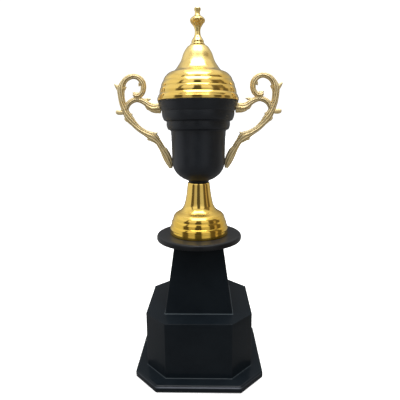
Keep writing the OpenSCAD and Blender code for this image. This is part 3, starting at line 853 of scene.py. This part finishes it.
def at_screw(side, upper):
    h, r, a = (114.2, 57.97, 90 + 19.6) if upper else (31.5, 41.28, 90)
    m = Matrix.Translation((r * MM, 0, (Z_BOWL + h) * MM)) @ Matrix.Rotation(math.radians(a), 4, "Y")
    if side < 0:
        m = Matrix.Rotation(math.pi, 4, "Z") @ m
    return m


for side, word in ((-1, "left"), (1, "right")):
    back = -(1.0 + 0.7 + 0.8)
    parts, rings_ = [], []
    for up, ln, wr in ((False, 6.0, 4.4), (True, 6.4, 4.0)):
        s = pan_screw(ln - back)
        placed(s, at_screw(side, up) @ Matrix.Translation((0, 0, back * MM)) @ Matrix.Rotation(0.4 + side + up, 4, "Z"))
        parts.append(s)
        w = washer(wr, 1.95, 0.8)
        placed(w, at_screw(side, up) @ Matrix.Translation((0, 0, back * MM)))
        rings_.append(w)
    s = join(word + "_pan_screws", parts)
    sharpen(s, 35)
    finish(s, "trophy", "steel", M_STEEL, word + "_handle_screws")
    w = join(word + "_screw_washers", rings_)
    sharpen(w, 35)
    finish(w, "trophy", "steel", M_STEEL, word + "_handle_washers")

fs = pan_screw(9.6)
placed(fs, Matrix.Translation((0, 0, (Z_FIN - 1.6) * MM)))
sharpen(fs, 35)
fs.name = "knob_screw"
finish(fs, "lid", "steel", M_STEEL, "finial_screw")
fw = washer(5.0, 1.95, 0.8)
placed(fw, Matrix.Translation((0, 0, (Z_FIN - 1.6) * MM)))
fw.name = "knob_washer"
finish(fw, "lid", "steel", M_STEEL, "finial_washer")


def hexagon_nut(name, z, h, af, r_hole, dome=0.0):
    """A nut with chamfered corners; with a dome it is blind."""
    n = 48
    rc = af / math.sqrt(3)

    def hexr(a):
        a = (a + math.pi / 6) % (math.pi / 3) - math.pi / 6
        return af / 2 / math.cos(a)
    rows = []
    for zz, lim in ((0.0, af / 2 * 0.97), (0.25, af / 2 * 1.03), (0.7, rc), (h - 0.7, rc), (h - 0.25, af / 2 * 1.03),
                    (h, af / 2 * 0.97)):
        rows.append([(min(hexr(2 * math.pi * k / n), lim) * math.cos(2 * math.pi * k / n),
                      min(hexr(2 * math.pi * k / n), lim) * math.sin(2 * math.pi * k / n), z + zz) for k in range(n)])
    if dome:
        for q in range(1, 9):
            t = q / 8 * math.pi / 2
            rr = 4.6 * math.cos(t)
            rows.append([(max(rr, 0.05) * math.cos(2 * math.pi * k / n), max(rr, 0.05) * math.sin(2 * math.pi * k / n),
                          z + h + dome * math.sin(t)) for k in range(n)])
    ob = loft(name, rows, sharp=30)
    cut(ob, cylinder(r_hole, z - 1, z + (7.4 if dome else h + 1)))
    sharpen(ob, 30)
    return ob


finish(hexagon_nut("dome_nut", Z_BOWL + 2.5, 5.5, 10.0, 3.02, 5.1), "trophy", "steel", M_STEEL, "rod_top_nut")
finish(hexagon_nut("thin_nut", Z_BASE + 1.2, 3.2, 10.0, 3.02), "trophy", "steel", M_STEEL, "rod_bottom_nut")
w1 = washer(12, 3.2, 1.5)
placed(w1, Matrix.Translation((0, 0, (Z_BOWL + 1.0) * MM)))
w1.name = "bowl_washer"
finish(w1, "trophy", "steel", M_STEEL, "rod_top_washer")
w2 = washer(9, 3.2, 1.6)
placed(w2, Matrix.Translation((0, 0, (Z_BASE + 4.4) * MM)))
w2.name = "board_washer"
finish(w2, "trophy", "steel", M_STEEL, "rod_bottom_washer")

rod_prof = [(0, Z_BASE + 0.8), (2.4, Z_BASE + 0.8), (2.95, Z_BASE + 1.3)]
zz = Z_BASE + 1.3
while zz < Z_BOWL + 8.2:
    rod_prof += [(2.97, zz + 0.15), (2.6, zz + 0.5), (2.6, zz + 0.55), (2.97, zz + 0.9)]
    zz += 1.0
rod_prof += [(2.5, Z_BOWL + 9.2), (0, Z_BOWL + 9.2)]
rod = lathe("threaded_rod", rod_prof, 20)
finish(rod, "trophy", "steel", M_STEEL, "tie_rod")

# ---------------------------------------------------------------- cast handles
STEM = [
    (43.6, 323.4, 2.2, 0.6), (44.6, 327.6, 3.4, 0.8), (46.8, 334.4, 4.9, 0.95), (50.6, 344.1, 5.5, 1),
    (56.7, 354.6, 4.4, 1), (62.6, 364.5, 4.6, 1.1), (69.8, 371.6, 6.2, 1.35), (76.6, 375.4, 4.9, 1.15),
    (84.2, 379.8, 3.8, 1), (91.8, 385, 3.9, 1), (98.8, 392, 4.4, 1), (104.8, 399.2, 5.2, 1.1),
    (109.6, 407, 4.6, 1.1), (113.2, 415.4, 4.2, 1), (116, 425, 4.3, 1), (117.2, 435.4, 4.7, 1.05),
    (116.7, 444.6, 5, 1.15), (112.6, 454, 3.6, 1), (105.8, 460.2, 3.4, 1), (97, 462.6, 3.4, 1),
    (89.4, 460.2, 3.6, 1), (84.2, 454.4, 4.0, 1.1), (82.6, 447.4, 3.8, 1), (84.2, 439.8, 3.4, 1),
    (88.8, 435, 3.4, 1.1), (94.6, 434.8, 3.6, 1.2), (98.4, 437, 2.2, 0.9)]
ARM = [
    (110.6, 414.6, 3.3, 0.85), (107.2, 421.6, 3.4, 0.9), (101.2, 426.4, 3.3, 0.9), (93.8, 428.6, 3.3, 0.95),
    (86.4, 427, 3.6, 1), (79.7, 423.2, 4, 1.1), (73.6, 418.2, 5.1, 1.15), (68, 415.8, 5.8, 1.3),
    (62.6, 415.4, 6, 1.45), (57, 415.3, 6.2, 1.45)]
LEAVES = [
    [(117.4, 441.4, 5.0), (120.8, 445.2, 3.8), (124.0, 448.8, 2.6), (126.2, 451.4, 1.2)],
    [(114.2, 443, 3.4), (111.4, 445, 2.1), (109.2, 447, 1.0)],
    [(111.2, 409.8, 3.2), (116.6, 409.4, 3.3), (120.6, 409.6, 3.9), (123.6, 409.9, 3.6)],
    [(106.8, 402.4, 3.6), (104.0, 404.8, 2.4), (102.2, 407.2, 1.3)],
    [(105.4, 397.4, 4.0), (109.6, 398.2, 3.1), (112.8, 399.8, 1.6)],
    [(71.6, 372, 4.8), (67.6, 375.6, 2.8), (64.6, 378.4, 1.4)],
    [(66.2, 369.6, 4.0), (63.4, 371.4, 2.2), (61.4, 372.8, 1.1)],
    [(71.6, 371, 5.0), (75.6, 369.2, 3.1), (78.4, 368.4, 1.7)],
    [(85.4, 455.4, 3.0), (88.0, 451.6, 2.3), (89.4, 448.6, 1.1)],
    [(83.6, 426.4, 2.8), (78.4, 427.8, 2.6), (74.8, 428.8, 1.9), (72.6, 429.4, 1.0)],
    [(79.4, 420.2, 2.8), (78, 416, 2), (77, 413.6, 1.1)],
    [(91, 436.2, 2.7), (94.8, 437.4, 2.2), (98.2, 438.4, 1.5)]]
SWELL = [(54.6, 354.2, 2.8), (52.4, 353.0, 3.5), (50.4, 349.8, 3.9), (48.9, 345.4, 3.9), (47.6, 340.4, 3.6), (46.6, 335.6, 3.0)]
HALF_T = 3.6


def bar(points, m, s, ribs, depth):
    """A ribbed bar of oval section along a line of (x, z, half-width, half-thickness share), as (verts, faces)."""
    q = smooth_line(points, m)
    n = len(q)
    verts, faces = [], []
    for i in range(n):
        a, b = q[max(i - 1, 0)], q[min(i + 1, n - 1)]
        t = (b[:2] - a[:2]) / max(np.linalg.norm(b[:2] - a[:2]), 1e-9)
        for k in range(s):
            ang = 2 * math.pi * k / s
            c, sn = math.cos(ang), math.sin(ang)
            v = 1.08 + 0.05 * math.cos(4 * ang) - depth * math.cos(ribs * ang + 0.12 * i) * (1 + 0.12 * math.sin(i * 0.6))
            w = q[i][2] * c * v
            verts.append((q[i][0] - t[1] * w, HALF_T * q[i][3] * sn * v, q[i][1] + t[0] * w))
    for i in range(n - 1):
        for k in range(s):
            j = (k + 1) % s
            faces.append([i * s + j, (i + 1) * s + j, (i + 1) * s + k, i * s + k])
    for row, flip in ((0, True), (n - 1, False)):
        c = len(verts)
        verts.append(tuple(np.mean([verts[row * s + k] for k in range(s)], axis=0)))
        for k in range(s):
            j = (k + 1) % s
            f = [row * s + k, row * s + j, c]
            faces.append(f[::-1] if flip else f)
    return verts, faces


def blobs(points, flat=1.0, y=0.0, m=6):
    """A chain of overlapping balls, thinner front to back, which the remesh melts into one leaf."""
    q = smooth_line(points, m)
    verts, faces = [], []
    u, v = 10, 14
    for x, z, r in q:
        sy = min(1, 0.5 + 0.6 / max(r, 0.3)) * flat
        base = len(verts)
        for i in range(u + 1):
            th = math.pi * i / u
            for k in range(v):
                ph = 2 * math.pi * k / v
                verts.append((x + r * math.sin(th) * math.cos(ph), y + r * sy * math.cos(th),
                              z + r * math.sin(th) * math.sin(ph)))
        for i in range(u):
            for k in range(v):
                j = (k + 1) % v
                faces.append([base + i * v + k, base + i * v + j, base + (i + 1) * v + j, base + (i + 1) * v + k])
    return verts, faces


def relief(x, z, ang, lengths, r0, y0, spread, taper=0.35):
    """Acanthus lobes: a fan of tapering ridges lying on the front and back faces."""
    out = []
    for k, l in enumerate(lengths):
        l = 0.82 * l
        a = math.radians(ang + spread * (k - (len(lengths) - 1) / 2))
        pts = []
        for t in np.linspace(0, 1, 5):
            bend = 0.16 * l * math.sin(math.pi * t) * (k - (len(lengths) - 1) / 2) / max(1, len(lengths) - 1)
            pts.append((x + math.cos(a) * l * t - math.sin(a) * bend, z + math.sin(a) * l * t + math.cos(a) * bend,
                        1.15 * r0 * (1 - (1 - taper) * t ** 1.8)))
        for side in (-1, 1):
            out.append(blobs(pts, 0.62, side * y0, 5))
    return out


def melt(name, pieces, voxel):
    verts, faces = [], []
    for v, f in pieces:
        base = len(verts)
        verts += v
        faces += [[base + i for i in g] for g in f]
    ob = new_object(name, [(x * MM, y * MM, z * MM) for x, y, z in verts], faces)
    fix_normals(ob)
    m = ob.modifiers.new("melt", "REMESH")
    m.mode = "VOXEL"
    m.voxel_size = voxel * MM
    m.adaptivity = 0.0
    m.use_smooth_shade = True
    apply_mods(ob)
    return ob


def wall_radius(h):
    """Outer radius of the bowl at a height above its bottom."""
    p = BOWL_TABLE
    return np.interp(h, p[:, 1], p[:, 0])


_bt = sorted(bowl_line + lip[:3], key=lambda q: q[1])
BOWL_TABLE = np.array(_bt)


def handle(name):
    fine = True
    step = 10 if fine else 5
    pieces = [bar(STEM, step, 48, 8, 0.14), bar(ARM, step, 48, 8, 0.13)]
    pieces += [blobs(l, 0.95) for l in LEAVES] + [blobs(SWELL, 1.1)]
    # lobes over the knots, and up the boss
    for args in (
            (66.5, 368.5, 38, (10, 12, 10), 1.25, 3.3, 17), (74.5, 373.5, 215, (7, 9, 7), 1.2, 3.4, 24),
            (103, 396.5, 55, (8.5, 11, 8.5), 1.15, 2.9, 20), (110, 406.5, 238, (6, 8, 6), 1.1, 3.0, 26),
            (116.4, 441, 95, (8, 11.5, 8.5), 1.15, 3.0, 20), (117, 446, 268, (6, 8, 6), 1.1, 2.9, 24),
            (83.2, 450, 262, (6, 8, 6), 1.0, 2.7, 22), (85.6, 456.5, 45, (5, 8, 5), 1.0, 2.7, 22),
            (59, 415.3, 5, (9, 13, 15, 13, 9), 1.25, 4.0, 12), (71, 417.6, 30, (7, 9, 7), 1.15, 3.1, 20),
            (84.5, 425.8, 200, (6, 8, 6), 1.05, 2.7, 22), (92.5, 435.2, 20, (4, 6, 4), 1.0, 3.0, 26),
            (46, 331, 68, (9, 14, 9), 1.05, 2.6, 12), (57, 356.6, 232, (7, 10, 7), 1.05, 2.7, 16)):
        pieces += relief(*args)
    ob = melt(name, pieces, 0.39 if fine else 0.6)
    s = ob.modifiers.new("soften", "SMOOTH")
    s.factor = 0.5
    s.iterations = 2
    apply_mods(ob)
    me = ob.data
    n = len(me.vertices)
    co = np.empty(n * 3)
    me.vertices.foreach_get("co", co)
    co = co.reshape(-1, 3) / MM
    # the seats are filed to the bowl's wall
    r = np.hypot(co[:, 0], co[:, 1])
    seat = wall_radius(co[:, 2] - Z_BOWL) + 0.06
    low = r < seat
    k = np.where(low, seat / np.maximum(r, 1e-6), 1.0)
    co[:, 0] *= k
    co[:, 1] *= k
    co[:, 1] = np.clip(co[:, 1], -6.2, 6.2)
    co[:, 0] = np.minimum(co[:, 0], 127.2)
    me.vertices.foreach_set("co", (co * MM).ravel())
    me.update()
    # how far each point lies below or above its neighbours, for the painted shade in the recesses and the painted
    # highlight on the raised points
    edges = np.empty(len(me.edges) * 2, int)
    me.edges.foreach_get("vertices", edges)
    edges = edges.reshape(-1, 2)
    sm = co.copy()
    deg = np.bincount(edges.ravel(), minlength=n)[:, None].clip(1)
    for _ in range(9 if fine else 4):
        acc = np.zeros_like(sm)
        for d in range(3):
            acc[:, d] = np.bincount(edges[:, 0], sm[edges[:, 1], d], n) + np.bincount(edges[:, 1], sm[edges[:, 0], d], n)
        sm = 0.5 * sm + 0.5 * acc / deg
    nrm = np.empty(n * 3)
    me.vertices.foreach_get("normal", nrm)
    nrm = nrm.reshape(-1, 3)
    lift = ((co - sm) * nrm).sum(1)
    lift /= max(np.percentile(np.abs(lift), 92), 1e-6)
    cav = np.clip(0.5 + 0.25 * lift, 0, 1)
    at = me.attributes.new("cavity", "FLOAT", "POINT")
    at.data.foreach_set("value", cav.astype(np.float32))
    return ob


right = handle("cast_handle_right")
left = right.copy()
left.data = right.data.copy()
left.name = left.data.name = "cast_handle_left"
scene.collection.objects.link(left)
co = np.empty(len(left.data.vertices) * 3)
left.data.vertices.foreach_get("co", co)
co = co.reshape(-1, 3)
co[:, 0] *= -1
left.data.vertices.foreach_set("co", co.ravel())
left.data.flip_normals()
left.data.update()
finish(right, "trophy", "gold_cast", M_CAST, "right_handle")
finish(left, "trophy", "gold_cast", M_CAST, "left_handle")

# ---------------------------------------------------------------- room, floor and lights
def floor_material():
    m = Nodes("floor")
    obj = m.coord.outputs["Object"]
    n = m.noise(obj, 3.0, 3.0, 0.5)
    color = m.mix(m.remap(n, 0.3, 0.7, 0.0, 1.0), (0.93, 0.93, 0.935), (0.95, 0.95, 0.95))
    m.set(color=color, rough=0.9, spec=0.0)
    m.bsdf.inputs["Emission Color"].default_value = (1, 1, 1, 1)
    m.bsdf.inputs["Emission Strength"].default_value = 0.55
    return m.mat


floor = new_object("floor", [(-30, -30, 0), (30, -30, 0), (30, 30, 0), (-30, 30, 0)], [[0, 1, 2, 3]], smooth=False)
floor.data.materials.append(floor_material())
floor.visible_glossy = False
floor.visible_diffuse = False

world = bpy.data.worlds.new("studio")
scene.world = world
world.use_nodes = True


class Sky(Nodes):
    def __init__(self):
        self.nt = world.node_tree
        self.nt.nodes.clear()
        self.out = self.nt.nodes.new("ShaderNodeOutputWorld")
        self.coord = self.nt.nodes.new("ShaderNodeTexCoord")

    def smooth(self, v, a, b):
        n = self.node("ShaderNodeMapRange", interpolation_type="SMOOTHSTEP")
        self.link(v, n.inputs["Value"])
        for i, x in enumerate((a, b, 0.0, 1.0)):
            n.inputs[1 + i].default_value = x
        return n.outputs[0]


def grey(v, warm=0.0):
    return (v * (1 + warm), v, v * (1 - 1.3 * warm))


sky = Sky()
sep = sky.node("ShaderNodeSeparateXYZ")
sky.link(sky.coord.outputs["Generated"], sep.inputs[0])
dx, dy, dz = sep.outputs
az = sky.math("MULTIPLY", sky.math("ARCTAN2", dx, sky.math("MULTIPLY", dy, -1.0)), 57.29578)
el = sky.math("MULTIPLY", sky.math("ARCSINE", dz), 57.29578)
around = sky.math("DIVIDE", sky.math("ADD", az, 180.0), 360.0)


def at(angle):
    return (angle + 180.0) / 360.0


# the room from behind the object round by the left: windows, stands and a dark door. (angle, level, warmth)
ROOM_LOW = [(-180, 0.03, 0.0), (-166, 0.04, 0.0), (-157, 0.34, 0.0), (-125, 0.74, 0.0), (-72, 0.80, 0.0), (-67, 0.64, 0.0), (-64, 0.10, 0.15),
            (-43, 0.09, 0.15), (-39, 0.52, 0.05), (-17, 0.58, 0.0), (-13, 0.09, 0.05), (10, 0.08, 0.05),
            (14, 0.56, 0.0), (35, 0.64, 0.0), (44, 0.52, 0.0), (47, 0.12, 0.2), (66, 0.09, 0.2), (70, 0.42, 0.2),
            (77, 0.42, 0.2), (81, 0.11, 0.2), (98, 0.14, 0.2), (104, 0.52, 0.1), (130, 0.50, 0.0), (157, 0.32, 0.0),
            (166, 0.04, 0.0), (180, 0.03, 0.0)]
ROOM_HIGH = [(-180, 0.28, 0.0), (-150, 0.50, 0.0), (-115, 0.92, 0.0), (-62, 0.98, 0.0), (-59, 0.12, 0.15), (-51, 0.12, 0.15),
             (-48, 0.98, 0.0), (-13, 1.05, 0.0), (-10, 0.10, 0.05), (10, 0.10, 0.05), (13, 1.05, 0.0),
             (44, 1.0, 0.0), (47, 0.18, 0.2), (60, 0.12, 0.2), (76, 0.22, 0.2), (92, 0.14, 0.2), (96, 0.66, 0.1),
             (135, 0.52, 0.0), (180, 0.28, 0.0)]
low = sky.ramp(around, [(at(a), grey(v, w)) for a, v, w in ROOM_LOW])
high = sky.ramp(around, [(at(a), grey(v, w)) for a, v, w in ROOM_HIGH])
up = sky.ramp(sky.math("DIVIDE", el, 90.0), [(0.50, grey(0.80)), (0.62, grey(0.95)), (0.8, grey(0.95)), (1.0, grey(0.80))])
down = grey(0.33)
walls_seen = sky.mix(sky.smooth(el, 16.0, 22.0), low, high)
walls_seen = sky.mix(sky.smooth(el, -38.0, -16.0), down, walls_seen)
seen_sky = sky.mix(sky.smooth(el, 39.0, 48.0), walls_seen, up)
# the long light box hung over the front
over = sky.math("MULTIPLY", sky.math("ARCTAN2", dz, sky.math("MULTIPLY", dy, -1.0)), 57.29578)
box_wide = sky.math("SUBTRACT", 1.0, sky.smooth(sky.math("ABSOLUTE", dx), 0.36, 0.42))
box_long = sky.math("MULTIPLY", sky.smooth(over, 56.0, 60.0), sky.math("SUBTRACT", 1.0, sky.smooth(over, 90.0, 94.0)))
seen_sky = sky.mix(sky.math("MULTIPLY", box_wide, box_long), seen_sky, grey(5.0))
bg_room, bg_seen, wmix, path = (sky.node(t) for t in ("ShaderNodeBackground", "ShaderNodeBackground",
                                                      "ShaderNodeMixShader", "ShaderNodeLightPath"))
sky.link(seen_sky, bg_room.inputs[0])
bg_room.inputs[1].default_value = 1.0
bg_seen.inputs[0].default_value = (1, 1, 1, 1)
bg_seen.inputs[1].default_value = 1.1
sky.link(path.outputs["Is Camera Ray"], wmix.inputs[0])
sky.link(bg_room.outputs[0], wmix.inputs[1])
sky.link(bg_seen.outputs[0], wmix.inputs[2])
sky.link(wmix.outputs[0], sky.out.inputs[0])


def lamp(name, at, target, size, power, color=(1, 1, 1), size_y=None):
    d = bpy.data.lights.new(name, "AREA")
    d.shape = "RECTANGLE"
    d.size = size
    d.size_y = size_y or size
    d.energy = power
    d.color = color
    o = bpy.data.objects.new(name, d)
    scene.collection.objects.link(o)
    o.location = at
    o.rotation_euler = (Vector(target) - Vector(at)).to_track_quat("-Z", "Y").to_euler()
    return o


lamp("top", (0, -0.1, 1.9), (0, 0, 0.3), 1.2, 3)

scene.view_settings.view_transform = "Standard"
scene.view_settings.look = "None"
scene.view_settings.exposure = 0.0
scene.view_settings.gamma = 1.0

bpy.context.view_layer.update()
